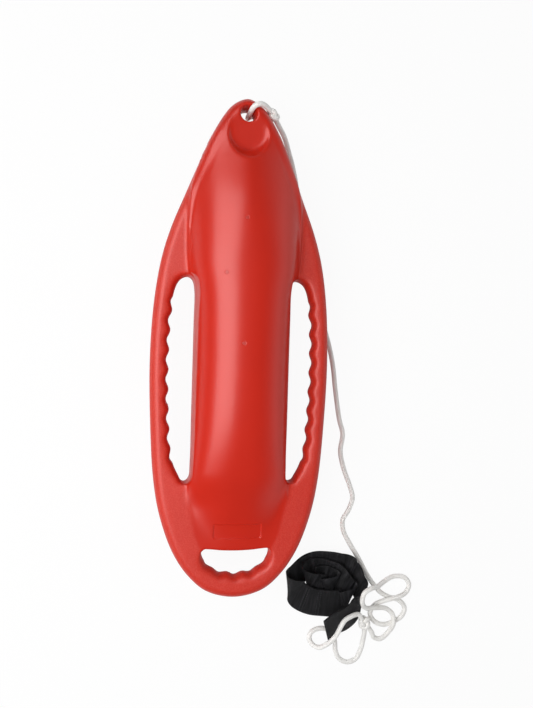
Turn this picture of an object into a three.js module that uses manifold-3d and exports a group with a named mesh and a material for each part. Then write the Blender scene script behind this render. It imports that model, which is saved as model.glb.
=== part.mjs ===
// A rescue can buoy: a moulded red float with three grips, its white towline and its black
// shoulder strap. It lies on its belly on a floor at z = 0, in millimetres. +Z is up, the nose
// points to +Y, and the origin is on the floor below the middle of the float.
import * as THREE from "three";
import { mergeVertices } from "three/addons/utils/BufferGeometryUtils.js";
import Module from "manifold-3d";

const wasm = await Module();
wasm.setup();

// Float: driving sizes
const bodyLength = 711;
const bodyWidth = 256;
const hullThickness = 147.2;
const rimThickness = 33;
const rimRound = 12.5;
const noseRound = 22;
const bellyLandDepth = 1.2;

// Grips
const barWidth = 24.5;
const slotFrontAlong = 257;
const slotRearAlong = 546;
const slotFrontAcross = 80;
const slotRearAcross = 74.5;
const slotHullAcross = 67.6;
const slotFlare = 12;
const slotHullFlareShare = 0.08;
const gripRoundOver = 1.5;
const firstRidgeAlong = 305;
const ridgePitch = 27.7;
const ridgeCount = 8;
const ridgeHeight = 2;

const tailFrontAlong = 640.5;
const tailRearAlong = 678.5;
const tailHoleHalf = 48.5;
const tailFlare = 13;
const tailDeckFlareShare = 0.3;
const tailPitch = 22;
const tailGrooveCount = 3;
const tailGrooveDepth = 1.8;

// Nose eye, the flat land behind it, and the hollow round that leads up to the hull
const eyeAlong = 24.5;
const eyeBore = 20;
const eyeRound = 4.5;
const noseLandThickness = 42;
const landAlong = 51;
const landRadius = 17;
const scoopRound = 14;

// Label recess, left bare
const labelAlong = 613.5;
const labelLength = 68;
const labelHeight = 21.5;
const labelCorner = 3;
const labelDepth = 1.3;

// Hull wall, foam fill and plugs
const wallThickness = 3;
const coreClearance = 0.3;
const flankWall = 11;
const cavityFrontAlong = 112;
const cavityRearAlong = 588;
const cavityEndRound = 46;
const plugHeadDiameter = 4.6;
const plugShankDiameter = 3;
const plugHeadDepth = 1.1;
const plugDome = 0.2;
const plugClearance = 0.3;
const plugPlaces = [
  { name: "vent_plug_front", across: -5, along: 180 },
  { name: "vent_plug_middle", across: -31, along: 255 },
  { name: "vent_plug_rear", across: -6, along: 349 },
];

// Towline and strap
const ropeDiameter = 7;
const mouthGap = 0.6;
const knotLong = 22;
const knotWide = 16;
const strapWidth = 50;
const strapThickness = 2.6;
const strapRest = 1.5;
const strapTailLift = 8.5;

// One overrun serves every cut, and points this close together become one
const cutOverrun = 12;
const weldDistance = 0.0001;
const seamDistance = 0.001;

// Half-widths of the float seen from above, nose to tail: shares of the length and of half the width
const outlineShares = [
  [0, 0], [0.0056, 0.097], [0.0174, 0.184], [0.0416, 0.281], [0.0819, 0.4], [0.142, 0.541],
  [0.2025, 0.675], [0.263, 0.805], [0.3235, 0.9], [0.408, 0.97], [0.52, 1], [0.644, 0.98],
  [0.7665, 0.926], [0.838, 0.846], [0.9086, 0.698], [0.956, 0.52], [0.987, 0.312], [1, 0],
];
// The hull's own section: share of the length, half-width as a share of half the float's width,
// half-height as a share of half the hull's thickness, and how square the section is
const hullShares = [
  [0, 0.62, 0.24, 2.2], [0.03, 0.62, 0.31, 2.2], [0.085, 0.62, 0.42, 2.2], [0.14, 0.62, 0.585, 2.25],
  [0.21, 0.625, 0.79, 2.25], [0.28, 0.625, 0.925, 2.25], [0.335, 0.61, 0.98, 2.25],
  [0.4, 0.56, 1, 2.25], [0.49, 0.543, 1, 2.25], [0.56, 0.541, 0.975, 2.25], [0.63, 0.541, 0.925, 2.3],
  [0.7, 0.543, 0.81, 2.4], [0.76, 0.548, 0.655, 2.6], [0.81, 0.55, 0.465, 3], [0.86, 0.51, 0.275, 3.4],
  [0.905, 0.445, 0.165, 3.4], [0.955, 0.31, 0.13, 3.2], [1, 0.15, 0.1, 3],
];

const halfLength = bodyLength / 2;
const halfWidth = bodyWidth / 2;
const halfHull = hullThickness / 2;
const halfRim = rimThickness / 2;
const halfLand = noseLandThickness / 2;
const midHeight = halfHull - bellyLandDepth;
const ropeRadius = ropeDiameter / 2;

const red = new THREE.MeshStandardMaterial({ color: 0xc8281c, roughness: 0.42, metalness: 0 });
const foam = new THREE.MeshStandardMaterial({ color: 0xe8dcb4, roughness: 0.95, metalness: 0 });
const plugRed = new THREE.MeshStandardMaterial({ color: 0xb82218, roughness: 0.5, metalness: 0 });
const white = new THREE.MeshStandardMaterial({ color: 0xf2f1ec, roughness: 0.8, metalness: 0 });
const black = new THREE.MeshStandardMaterial({ color: 0x17171a, roughness: 0.75, metalness: 0 });

// Linear look-up in a table of shares, whose first column rises
function lookUp(table, share, column) {
  const last = table.length - 1;
  let row = 0;
  while (row < last - 1 && table[row + 1][0] < share) row += 1;
  const [low, high] = [table[row], table[row + 1]];
  const f = THREE.MathUtils.clamp((share - low[0]) / (high[0] - low[0]), 0, 1);
  return THREE.MathUtils.lerp(low[column], high[column], f);
}

// A smooth curve through a table's column, as a finer table with the same columns
function smoothTable(table, steps) {
  const made = [];
  for (let i = 0; i < table.length - 1; i += 1) {
    const last = table.length - 1;
    const rows = [table[Math.max(i - 1, 0)], table[i], table[i + 1], table[Math.min(i + 2, last)]];
    for (let k = 0; k < steps; k += 1) {
      made.push(rows[0].map((_, column) => cubicThrough(rows, column, k / steps)));
    }
  }
  made.push(table[table.length - 1]);
  return made;
}

// One value of a cubic whose slopes at its ends are those of its neighbours
function cubicThrough(rows, column, f) {
  const [a, b, c, d] = rows;
  const run = c[0] - b[0];
  if (column === 0) return b[0] + run * f;
  const slopeIn = ((c[column] - a[column]) / (c[0] - a[0] || run)) * run;
  const slopeOut = ((d[column] - b[column]) / (d[0] - b[0] || run)) * run;
  const f2 = f * f;
  const f3 = f2 * f;
  return (2 * f3 - 3 * f2 + 1) * b[column] + (f3 - 2 * f2 + f) * slopeIn
    + (3 * f2 - 2 * f3) * c[column] + (f3 - f2) * slopeOut;
}

const planCurve = new THREE.CatmullRomCurve3(
  [...outlineShares, ...outlineShares.slice(1, -1).reverse().map(([a, w]) => [a, -w])].map(
    ([along, across]) => new THREE.Vector3(across * halfWidth, halfLength - along * bodyLength, 0),
  ),
  true,
  "centripetal",
);
const planFine = planCurve.getSpacedPoints(480).slice(0, -1);
const hullTable = smoothTable(hullShares, 6);
const planTable = planFine.filter((p) => p.x >= 0).map((p) => [(halfLength - p.y) / bodyLength, p.x]);
planTable.sort((a, b) => a[0] - b[0]);

function alongOf(y) {
  return halfLength - y;
}

function planHalfWidth(y) {
  return lookUp(planTable, alongOf(y) / bodyLength, 1);
}

// Distance from the float's outline, seen from above, inwards
function planDepth(x, y) {
  let least = Infinity;
  for (const p of planFine) least = Math.min(least, (p.x - x) ** 2 + (p.y - y) ** 2);
  return Math.sqrt(least);
}

// A quarter round over the given depth, from 0 at the edge to 1
function roundedEdge(depth, radius) {
  const left = 1 - Math.min(depth / radius, 1);
  return Math.sqrt(Math.max(0, 1 - left * left));
}

// Two values joined smoothly: the larger one where they differ, a fillet where they meet
function softLarger(a, b) {
  const sharpness = 5;
  return (a ** sharpness + b ** sharpness) ** (1 / sharpness);
}

function softSmaller(a, b) {
  const sharpness = 14;
  return (a ** -sharpness + b ** -sharpness) ** (-1 / sharpness);
}

// The hull's half-width at its base, and its half-height on the centre line
function hullSection(y) {
  const share = alongOf(y) / bodyLength;
  const width = lookUp(hullTable, share, 1) * halfWidth;
  return {
    width: softSmaller(width, Math.max(planHalfWidth(y), rimRound)),
    height: lookUp(hullTable, share, 2) * halfHull,
    square: lookUp(hullTable, share, 3),
  };
}

function superEllipse(share, square) {
  return Math.max(0, 1 - Math.min(Math.abs(share), 1) ** square) ** (1 / square);
}

// Half the float's thickness over a point of its plan, before any cut
function halfThickness(x, y, depth = planDepth(x, y)) {
  const hull = hullSection(y);
  const hump = hull.height * superEllipse(x / hull.width, hull.square) * roundedEdge(depth, noseRound);
  return softLarger(halfRim * roundedEdge(depth, rimRound), hump);
}

// A closed solid from a three.js geometry
function solidOf(geometry) {
  const bare = geometry.clone();
  bare.deleteAttribute("normal");
  bare.deleteAttribute("uv");
  const merged = mergeVertices(bare, weldDistance);
  return new wasm.Manifold(
    new wasm.Mesh({
      numProp: 3,
      vertProperties: new Float32Array(merged.attributes.position.array),
      triVerts: new Uint32Array(merged.index.array),
    }),
  );
}

function geometryOf(solid) {
  const mesh = solid.getMesh();
  const made = new THREE.BufferGeometry();
  made.setAttribute("position", new THREE.BufferAttribute(mesh.vertProperties, mesh.numProp));
  made.setIndex(new THREE.BufferAttribute(mesh.triVerts, 1));
  made.computeVertexNormals();
  return made;
}

function meshOf(name, geometry, material) {
  const mesh = new THREE.Mesh(geometry, material);
  mesh.name = name;
  return mesh;
}

// A solid skinned over closed rings with the same number of points, with flat ends.
// Rings turn anticlockwise seen from the side that the last ring faces.
function skin(rings) {
  const count = rings[0].length;
  const points = rings.flat();
  const triangles = [];
  for (let r = 0; r < rings.length - 1; r += 1) {
    for (let i = 0; i < count; i += 1) {
      const a = r * count + i;
      const b = r * count + ((i + 1) % count);
      triangles.push(a, b, b + count, a, b + count, a + count);
    }
  }
  for (const [ring, turned] of [[0, true], [rings.length - 1, false]]) {
    const middle = points.length;
    points.push(rings[ring].reduce((sum, p) => sum.add(p), new THREE.Vector3()).divideScalar(count));
    for (let i = 0; i < count; i += 1) {
      const a = ring * count + i;
      const b = ring * count + ((i + 1) % count);
      triangles.push(...(turned ? [middle, b, a] : [middle, a, b]));
    }
  }
  const made = new THREE.BufferGeometry().setFromPoints(points);
  made.setIndex(triangles);
  return made;
}

// Float body: a sheet from the rim to the centre line, and the same sheet mirrored below it.
// Its rows follow the outline inwards over the rounded rim, cross the deck to the hull's edge,
// and then close up towards the centre line as the hull's section does.
function bodyGeometry() {
  const around = 92;
  const outline = planCurve.getSpacedPoints(around).slice(0, -1);
  const spineFront = halfLength - 1.3 * noseRound;
  const spineRear = -halfLength + 0.72 * halfWidth;
  const inwards = outline.map((p, i) => {
    const t = outline[(i + 1) % around].clone().sub(outline[(i + around - 1) % around]).normalize();
    const normal = new THREE.Vector3(t.y, -t.x, 0);
    return normal.dot(p) > 0 ? normal.negate() : normal;
  });
  const rows = [0, 22.5, 45, 67.5, 90].map((angle) => {
    const depth = rimRound * (1 - Math.cos(THREE.MathUtils.degToRad(angle)));
    return outline.map((p, i) => p.clone().addScaledVector(inwards[i], depth));
  });
  const innerRim = rows[rows.length - 1];
  const onSpine = (p) => new THREE.Vector3(0, THREE.MathUtils.clamp(p.y, spineRear, spineFront), 0);
  const spine = innerRim.map(onSpine);
  const deckShare = spine.map(({ y }) => {
    const rim = planHalfWidth(y) - rimRound;
    return Math.max(0.08, 1 - hullSection(y).width / rim);
  });
  const deckRows = [1 / 3, 2 / 3, 1];
  const hullRows = [15, 30, 45, 60, 75, 90].map((angle) => 1 - Math.cos(THREE.MathUtils.degToRad(angle)));
  const addRow = (shareAt) => rows.push(innerRim.map((p, i) => p.clone().lerp(spine[i], shareAt(i))));
  deckRows.forEach((f) => addRow((i) => f * deckShare[i]));
  hullRows.forEach((f) => addRow((i) => THREE.MathUtils.lerp(deckShare[i], 1, f)));

  const points = [];
  const triangles = [];
  const clockwise = THREE.ShapeUtils.area(outline) < 0;
  for (const face of [1, -1]) {
    const start = points.length;
    rows.forEach((row, r) => row.forEach((p) => {
      points.push(new THREE.Vector3(p.x, p.y, r === 0 ? 0 : face * halfThickness(p.x, p.y)));
    }));
    for (let r = 0; r < rows.length - 1; r += 1) {
      for (let i = 0; i < around; i += 1) {
        const a = start + r * around + i;
        const b = start + r * around + ((i + 1) % around);
        const quad = [a, b, b + around, a, b + around, a + around];
        triangles.push(...(face > 0 === clockwise ? quad.reverse() : quad));
      }
    }
  }
  const made = new THREE.BufferGeometry().setFromPoints(points);
  made.setIndex(triangles);
  return withoutSlivers(made);
}

// Merges the points that meet on the centre line and drops the triangles that this closes up
function withoutSlivers(geometry) {
  const merged = mergeVertices(geometry, seamDistance);
  const index = merged.index.array;
  const kept = [];
  for (let i = 0; i < index.length; i += 3) {
    const [a, b, c] = index.subarray(i, i + 3);
    if (a !== b && b !== c && a !== c) kept.push(a, b, c);
  }
  merged.setIndex(kept);
  return merged;
}

// A cutter for a rounded grip hole. The hole is narrowest at the middle of the float's
// thickness and widens to both faces, so that the bar beside it is round to the hand.
function gripCutter(outline, waves, flares) {
  const rise = halfRim + gripRoundOver;
  const levels = [0, 0.5, 0.82, 0.97].map((share) => share * rise);
  const count = outline.length;
  const area = THREE.ShapeUtils.area(outline);
  const outwards = outline.map((p, i) => {
    const t = outline[(i + 1) % count].clone().sub(outline[(i + count - 1) % count]).normalize();
    return new THREE.Vector2(t.y, -t.x).multiplyScalar(Math.sign(area));
  });
  const ringAt = (z, spread, fade) => outline.map((p, i) => {
    const q = p.clone().addScaledVector(outwards[i], spread * flares[i] + waves[i] * fade);
    return new THREE.Vector3(q.x, q.y, z);
  });
  const upper = levels.map((z) => {
    const spread = 1 - Math.sqrt(1 - (z / rise) ** 2);
    return ringAt(z, spread, 1 - 0.75 * spread);
  });
  const top = ringAt(halfHull + cutOverrun, 1, 0.25);
  const mirrored = (ring) => ring.map((p) => new THREE.Vector3(p.x, p.y, -p.z));
  const rings = [top, ...upper.slice(1).reverse()].map(mirrored).concat(upper, [top]);
  if (area < 0) rings.forEach((ring) => ring.reverse());
  return skin(rings);
}

// Side grip slot on the +X side, as points of its plan at mid-thickness
function slotOutline() {
  const straightFront = slotFrontAlong + 2.2 * barWidth;
  const straightRear = slotRearAlong - 1.8 * barWidth;
  const bar = (along, extraShare = 0) => {
    const growth = 0.08 * THREE.MathUtils.smoothstep(along, straightRear - 2 * barWidth, slotRearAlong);
    return [planHalfWidth(halfLength - along) - barWidth * (1 + growth + extraShare), along];
  };
  const roundness = slotFrontAcross - slotHullAcross;
  const barSide = [];
  const stations = 9;
  for (let i = 0; i <= stations; i += 1) {
    barSide.push(bar(THREE.MathUtils.lerp(straightFront, straightRear, i / stations)));
  }
  const hullSide = [0.1, 0.3, 0.55, 0.8, 0.93].map((share) => [
    slotHullAcross, THREE.MathUtils.lerp(slotRearAlong, slotFrontAlong, share),
  ]);
  return smoothPlan([
    [slotFrontAcross, slotFrontAlong],
    [slotFrontAcross + 0.72 * roundness, slotFrontAlong + 0.38 * roundness],
    bar(slotFrontAlong + 1.35 * roundness, 0.1),
    ...barSide,
    bar(slotRearAlong - 1.9 * roundness, 0.15),
    [slotRearAcross + 0.78 * roundness, slotRearAlong - 0.72 * roundness],
    [slotRearAcross + 0.42 * roundness, slotRearAlong - 0.12 * roundness],
    [slotRearAcross - 0.05 * roundness, slotRearAlong],
    [slotRearAcross - 0.42 * roundness, slotRearAlong - 0.35 * roundness],
    ...hullSide,
    [slotHullAcross + 0.2 * roundness, slotFrontAlong + 0.5 * roundness],
    [slotHullAcross + 0.52 * roundness, slotFrontAlong + 0.1 * roundness],
  ], 132, (p) => p.x > slotFrontAcross && alongOf(p.y) > straightFront - ridgePitch);
}

// Right half of the tail grip hole's plan, from its front edge round to its rear edge: shares
// of the hole's half-width and of its length along the float
const tailHoleShares = [
  [0, 0.08], [0.42, 0.06], [0.78, 0.01], [0.93, 0.01], [1, 0.13], [0.975, 0.32], [0.85, 0.59], [0.7, 0.785],
  [0.49, 0.885], [0.25, 0.975], [0, 1],
];

function tailOutline() {
  const place = ([across, along]) => [
    across * tailHoleHalf, THREE.MathUtils.lerp(tailFrontAlong, tailRearAlong, along),
  ];
  const right = tailHoleShares.map(place);
  const left = right.slice(1, -1).reverse().map(([across, along]) => [-across, along]);
  const grooved = (p) => alongOf(p.y) > THREE.MathUtils.lerp(tailFrontAlong, tailRearAlong, 0.3);
  return smoothPlan([...right, ...left], 90, grooved);
}

// Points round a closed plan curve, kept close together only where they must show grooves
function smoothPlan(points, count, isFine) {
  const curve = new THREE.CatmullRomCurve3(
    points.map(([across, along]) => new THREE.Vector3(across, halfLength - along, 0)),
    true,
    "centripetal",
  );
  const even = curve.getSpacedPoints(count).slice(0, -1).map((p) => new THREE.Vector2(p.x, p.y));
  return even.filter((p, i) => i % 3 === 0 || isFine(p));
}

function slotSolid() {
  const outline = slotOutline();
  const waves = outline.map((p) => {
    const along = alongOf(p.y);
    const first = firstRidgeAlong - ridgePitch / 2;
    const last = first + ridgeCount * ridgePitch;
    const onBar = p.x > slotFrontAcross ? 1 : 0;
    const inside = THREE.MathUtils.smoothstep(along, first - ridgePitch / 3, first)
      * (1 - THREE.MathUtils.smoothstep(along, last, last + ridgePitch / 3));
    return -ridgeHeight * onBar * inside * Math.cos((2 * Math.PI * (along - firstRidgeAlong)) / ridgePitch);
  });
  const flares = outline.map((p) => {
    const f = THREE.MathUtils.smoothstep(p.x, slotHullAcross, slotFrontAcross + barWidth / 2);
    return slotFlare * THREE.MathUtils.lerp(slotHullFlareShare, 1, f);
  });
  return solidOf(gripCutter(outline, waves, flares));
}

function tailSolid() {
  const outline = tailOutline();
  const waves = outline.map((p) => {
    const reach = (tailGrooveCount / 2 + 0.25) * tailPitch;
    const onBar = alongOf(p.y) > (tailFrontAlong + tailRearAlong) / 2 ? 1 : 0;
    const inside = 1 - THREE.MathUtils.smoothstep(Math.abs(p.x), reach, reach + tailPitch / 3);
    return tailGrooveDepth * onBar * inside * Math.cos((2 * Math.PI * p.x) / tailPitch);
  });
  const flares = outline.map((p) => {
    const middle = (tailFrontAlong + tailRearAlong) / 2;
    const f = THREE.MathUtils.smoothstep(alongOf(p.y), tailFrontAlong, middle);
    return tailFlare * THREE.MathUtils.lerp(tailDeckFlareShare, 1, f);
  });
  return solidOf(gripCutter(outline, waves, flares));
}

function mirroredAcross(solid) {
  return solid.mirror([1, 0, 0]);
}

// Nose eye: a bore whose mouths are rounded for the line
function eyeSolid() {
  const radius = eyeBore / 2;
  const straight = halfLand - 0.9 * eyeRound;
  const bend = [0, 0.4, 0.7, 0.9].map((share) => new THREE.Vector2(
    radius + eyeRound * (1 - Math.sqrt(1 - share * share)), straight + share * eyeRound,
  ));
  const mouth = bend[bend.length - 1].x + eyeRound;
  const upper = [...bend, new THREE.Vector2(mouth, halfLand + 2 * eyeRound)];
  const lower = upper.map((p) => new THREE.Vector2(p.x, -p.y)).reverse();
  const profile = [new THREE.Vector2(0, -halfLand - 2 * eyeRound), ...lower, ...upper,
    new THREE.Vector2(0, halfLand + 2 * eyeRound)];
  const lathe = new THREE.LatheGeometry(profile, 28);
  lathe.rotateX(Math.PI / 2);
  lathe.translate(0, halfLength - eyeAlong, 0);
  return solidOf(withoutSlivers(bareOf(lathe)));
}

function bareOf(geometry) {
  const bare = geometry.clone();
  bare.deleteAttribute("normal");
  bare.deleteAttribute("uv");
  return bare;
}

// The scoop behind the nose eye: a flat land above the mid-plane, open to the front, and a
// hollow round from it up to the hull
function scoopSolid() {
  const centre = halfLength - landAlong;
  const front = halfLength + cutOverrun;
  const arcSteps = 20;
  const ring = (radius, z) => {
    const points = [];
    for (let i = 0; i <= arcSteps; i += 1) {
      const angle = Math.PI + (Math.PI * i) / arcSteps;
      points.push(new THREE.Vector3(radius * Math.cos(angle), centre + radius * Math.sin(angle), z));
    }
    points.push(new THREE.Vector3(radius, front, z), new THREE.Vector3(-radius, front, z));
    return points;
  };
  const rise = [0, 25, 45, 62, 77, 90].map((degrees) => {
    const angle = THREE.MathUtils.degToRad(degrees);
    return ring(landRadius + scoopRound * Math.sin(angle), halfLand + scoopRound * (1 - Math.cos(angle)));
  });
  return solidOf(skin([...rise, ring(landRadius + scoopRound, halfHull + cutOverrun)]));
}

// A shallow rounded rectangle sunk in the slope before the tail grip
function labelFrame() {
  const y = halfLength - labelAlong;
  const reach = labelHeight / 2;
  const rise = halfThickness(0, y + reach) - halfThickness(0, y - reach);
  return { y, z: halfThickness(0, y), tilt: Math.atan2(rise, 2 * reach) };
}

function labelSolid() {
  const frame = labelFrame();
  const w = labelLength / 2;
  const h = labelHeight / 2;
  const shape = new THREE.Shape();
  shape.moveTo(-w + labelCorner, -h);
  shape.lineTo(w - labelCorner, -h);
  shape.absarc(w - labelCorner, -h + labelCorner, labelCorner, -Math.PI / 2, 0, false);
  shape.absarc(w - labelCorner, h - labelCorner, labelCorner, 0, Math.PI / 2, false);
  shape.absarc(-w + labelCorner, h - labelCorner, labelCorner, Math.PI / 2, Math.PI, false);
  shape.absarc(-w + labelCorner, -h + labelCorner, labelCorner, Math.PI, 1.5 * Math.PI, false);
  const options = { depth: cutOverrun, bevelEnabled: false, curveSegments: 4 };
  const sunk = new THREE.ExtrudeGeometry(shape, options);
  sunk.translate(0, 0, -labelDepth);
  sunk.rotateX(frame.tilt);
  sunk.translate(0, frame.y, frame.z);
  return solidOf(sunk);
}

// The flat that the float lies on
function bellySolid() {
  const box = new THREE.BoxGeometry(bodyWidth, bodyLength, cutOverrun);
  box.translate(0, 0, -midHeight - cutOverrun / 2);
  return solidOf(box);
}

// The foam's room in the hull, or the foam itself, as sections along the hull
function fillGeometry(inset) {
  const sections = 17;
  const around = 28;
  const front = halfLength - cavityFrontAlong - inset;
  const rear = halfLength - cavityRearAlong + inset;
  const rings = [];
  for (let i = 0; i <= sections; i += 1) {
    const turn = (Math.PI * i) / sections;
    const y = (front + rear) / 2 - ((front - rear) / 2) * Math.cos(turn);
    const hull = hullSection(y);
    const depth = Math.min(front - y, y - rear);
    const close = Math.max(roundedEdge(depth, cavityEndRound), 0.2);
    const width = (hull.width - flankWall - inset) * close;
    const height = (hull.height - wallThickness - inset) * close;
    const ring = [];
    for (let k = 0; k < around; k += 1) {
      const angle = (2 * Math.PI * k) / around;
      const [c, s] = [Math.cos(angle), Math.sin(angle)];
      const power = 2 / hull.square;
      ring.push(new THREE.Vector3(
        width * Math.sign(c) * Math.abs(c) ** power, y, height * Math.sign(s) * Math.abs(s) ** power,
      ));
    }
    rings.push(ring.reverse());
  }
  return skin(rings);
}

// Where a plug sits on the hull's face and which way it points
function plugFrame({ across, along }) {
  const y = halfLength - along;
  const step = plugHeadDiameter;
  const slopeX = (halfThickness(across + step, y) - halfThickness(across - step, y)) / (2 * step);
  const slopeY = (halfThickness(across, y + step) - halfThickness(across, y - step)) / (2 * step);
  const normal = new THREE.Vector3(-slopeX, -slopeY, 1).normalize();
  const turn = new THREE.Quaternion().setFromUnitVectors(new THREE.Vector3(0, 0, 1), normal);
  return { position: new THREE.Vector3(across, y, halfThickness(across, y)), turn };
}

// A turned plug or its hole: a wide head over a narrower shank, along +Z, with the face at 0
function plugProfile(headRadius, shankRadius, headDepth, depth, dome) {
  return [
    new THREE.Vector2(0, -depth),
    new THREE.Vector2(shankRadius, -depth),
    new THREE.Vector2(shankRadius, -headDepth),
    new THREE.Vector2(headRadius, -headDepth),
    new THREE.Vector2(headRadius, dome / 3),
    new THREE.Vector2(0.7 * headRadius, dome),
    new THREE.Vector2(0, dome),
  ];
}

function turned(profile, sides) {
  const lathe = new THREE.LatheGeometry(profile, sides);
  lathe.rotateX(Math.PI / 2);
  return withoutSlivers(bareOf(lathe));
}

function placed(geometry, frame) {
  const made = geometry.clone();
  made.applyQuaternion(frame.turn);
  made.translate(frame.position.x, frame.position.y, frame.position.z);
  return made;
}

function plugHole(place) {
  const head = plugHeadDiameter / 2 + plugClearance;
  const shank = plugShankDiameter / 2 + plugClearance;
  const depth = wallThickness + cutOverrun / 4;
  const hole = turned(plugProfile(head, shank, plugHeadDepth + plugClearance, depth, cutOverrun), 20);
  return solidOf(placed(hole, plugFrame(place)));
}

function plugMesh(place) {
  const plug = turned(plugProfile(plugHeadDiameter / 2, plugShankDiameter / 2, plugHeadDepth,
    wallThickness - plugClearance, plugDome), 20);
  return meshOf(place.name, placed(plug, plugFrame(place)), plugRed);
}

function floatShell() {
  const slot = slotSolid();
  const scoop = scoopSolid();
  let shell = solidOf(bodyGeometry());
  const grips = [slot, mirroredAcross(slot), tailSolid()];
  const nose = [eyeSolid(), scoop, scoop.mirror([0, 0, 1])];
  const cuts = [...grips, ...nose, labelSolid(), bellySolid(), solidOf(fillGeometry(0)),
    ...plugPlaces.map(plugHole)];
  for (const cut of cuts) shell = shell.subtract(cut);
  return meshOf("float_shell", geometryOf(shell), red);
}

// Line and strap routes, in millimetres on the floor
const bundleRoute = [
  [233, -368, 4], [246, -382, 4], [260, -390, 4.6], [276, -395, 6], [287, -408, 4],
  [283, -421, 4], [268, -430, 4], [252, -434, 4], [237, -428, 4], [229.5, -415, 4],
  [236, -402, 5.2], [247, -394.5, 10], [261, -389.5, 14], [276, -386.5, 12.5], [289, -381, 7],
  [293.5, -370, 4], [285, -359.5, 4], [267, -357.5, 4], [250, -363, 9.5], [234, -366, 24],
  [218, -363.5, 39.5], [206.5, -369, 42.5], [204.5, -383, 38.5], [214.5, -398, 26.5],
  [233, -402, 16.5], [253, -406, 10], [265, -416, 9.5], [266, -430, 12.4], [261, -445, 5.5],
  [248, -456.5, 4], [236.5, -453, 5], [231.5, -443.5, 8.5],
];
const hitchRoute = [
  [205.3, -410.5, 18.7], [190.5, -411.5, 24.6], [181, -416, 27.1], [175, -425, 27.1], [170, -437, 25.1],
  [162.5, -447.5, 22.6], [153, -456, 19.2], [144.5, -461, 14.5], [137, -460, 8.5], [131, -451, 4.1],
  [134.5, -440.5, 4], [148, -435.5, 4], [162, -439, 4], [170, -448, 4], [173, -460, 4],
  [174, -471, 4], [180, -484, 4], [194, -491, 4], [208, -486, 4], [215.5, -472, 4],
  [218.5, -457, 5.5], [219, -446, 9],
];
const runRoute = [
  [51, 328, 52], [60.5, 321, 38], [68, 312.5, 26], [75, 300, 15], [81, 288, 8], [85, 276, 4.6],
  [88.5, 262, 4], [92, 240, 4], [97, 205, 4], [106, 160, 4], [117, 110, 4], [130, 65, 4],
  [142, 33, 4], [150, 7, 4], [157, -24, 4], [162, -61, 4], [170, -108, 4], [176, -130, 4],
  [173, -158, 4], [180, -187, 4], [190, -212, 4], [195, -231, 4], [189, -250, 4],
  [180, -266, 4], [182, -284, 4], [193, -304, 4], [207, -326, 4], [220, -349, 4],
  [228, -361.5, 4],
];
const noseLoopRoute = [
  [27.2, 342.4, 85.5], [20, 343.6, 93.8], [13, 342.4, 98.6], [8, 340, 98.4], [4.9, 337.6, 95.4],
  [3.6, 335.9, 90.5], [3.6, 335.8, 84], [3.6, 335.8, 72.4], [3.6, 335.8, 61], [3.6, 335.9, 54.3],
  [4.9, 337.6, 49.4], [8, 340, 46.4], [13, 342.4, 46.2], [20, 343.6, 51], [27.2, 342.4, 58.5],
];

// A knot is an egg shape that lies flat, turned about +Z
const noseKnot = { name: "nose_knot", centre: [38, 338, 71.5], turn: THREE.MathUtils.degToRad(38) };
const strapKnot = { name: "strap_knot", centre: [218.5, -426, 12], turn: THREE.MathUtils.degToRad(20) };

// The strap's lower edge on the floor, from its inner fold to its tied end
const strapRoute = [
  [143, -379.5], [147, -378.5], [151, -380], [157, -382], [163, -386.5], [161, -392.5], [150, -393.5],
  [136, -390], [127.5, -383.5], [127, -375.5], [131.5, -368.5], [137, -366.5], [143, -367.5], [151, -370],
  [163, -374.5], [172, -381.5], [178.5, -389.5], [185.5, -398], [192, -405.5], [190, -414], [172, -418.5],
  [150, -417], [130, -414], [113, -407.5], [101, -399.5], [95.5, -390.5], [98, -382], [105, -375.5],
  [112.5, -369], [119, -364], [127, -359.5], [137, -356.8], [149, -357], [162, -358.5], [174, -361],
  [182, -362.4], [187, -365], [191, -370.5], [198, -380], [204.5, -392], [211, -405], [213, -417],
  [205, -429], [190, -438], [177, -442], [169, -447], [161, -453],
];
const strapLeanShares = [-0.1, 0.93, 0.35];
const strapEndRiseShare = 0.12;
const strapTurnShare = 0.5;
const strapLiftShares = [0.891, 0.957];

function curveOf(route) {
  return new THREE.CatmullRomCurve3(route.map((p) => new THREE.Vector3(...p)), false, "centripetal");
}

// The point where a line from a knot's middle towards a place leaves the knot
function knotMouth(knot, place) {
  const centre = new THREE.Vector3(...knot.centre);
  const out = new THREE.Vector3(...place).sub(centre).normalize();
  const inKnot = out.clone().applyAxisAngle(new THREE.Vector3(0, 0, 1), -knot.turn);
  const half = new THREE.Vector3(knotWide, knotLong, knotWide).divideScalar(2);
  const reach = 1 / inKnot.divide(half).length();
  return centre.addScaledVector(out, reach + mouthGap).toArray();
}

// A tube along a route: one ring of points at each step, turned as little as possible from
// the ring before it
function tubeGeometry(curve, steps, sides) {
  const frames = curve.computeFrenetFrames(steps, false);
  const rings = [];
  for (let i = 0; i <= steps; i += 1) {
    const centre = curve.getPointAt(i / steps);
    const ring = [];
    for (let k = 0; k < sides; k += 1) {
      const angle = (2 * Math.PI * (k + 0.5)) / sides;
      ring.push(centre.clone()
        .addScaledVector(frames.normals[i], ropeRadius * Math.cos(angle))
        .addScaledVector(frames.binormals[i], ropeRadius * Math.sin(angle)));
    }
    rings.push(ring);
  }
  return skin(rings);
}

function extrudedRope(curve, steps) {
  const circle = new THREE.EllipseCurve(0, 0, ropeRadius, ropeRadius);
  const section = new THREE.Shape(circle.getPoints(8).slice(0, -1));
  return new THREE.ExtrudeGeometry(section, { steps, bevelEnabled: false, extrudePath: curve });
}

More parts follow.
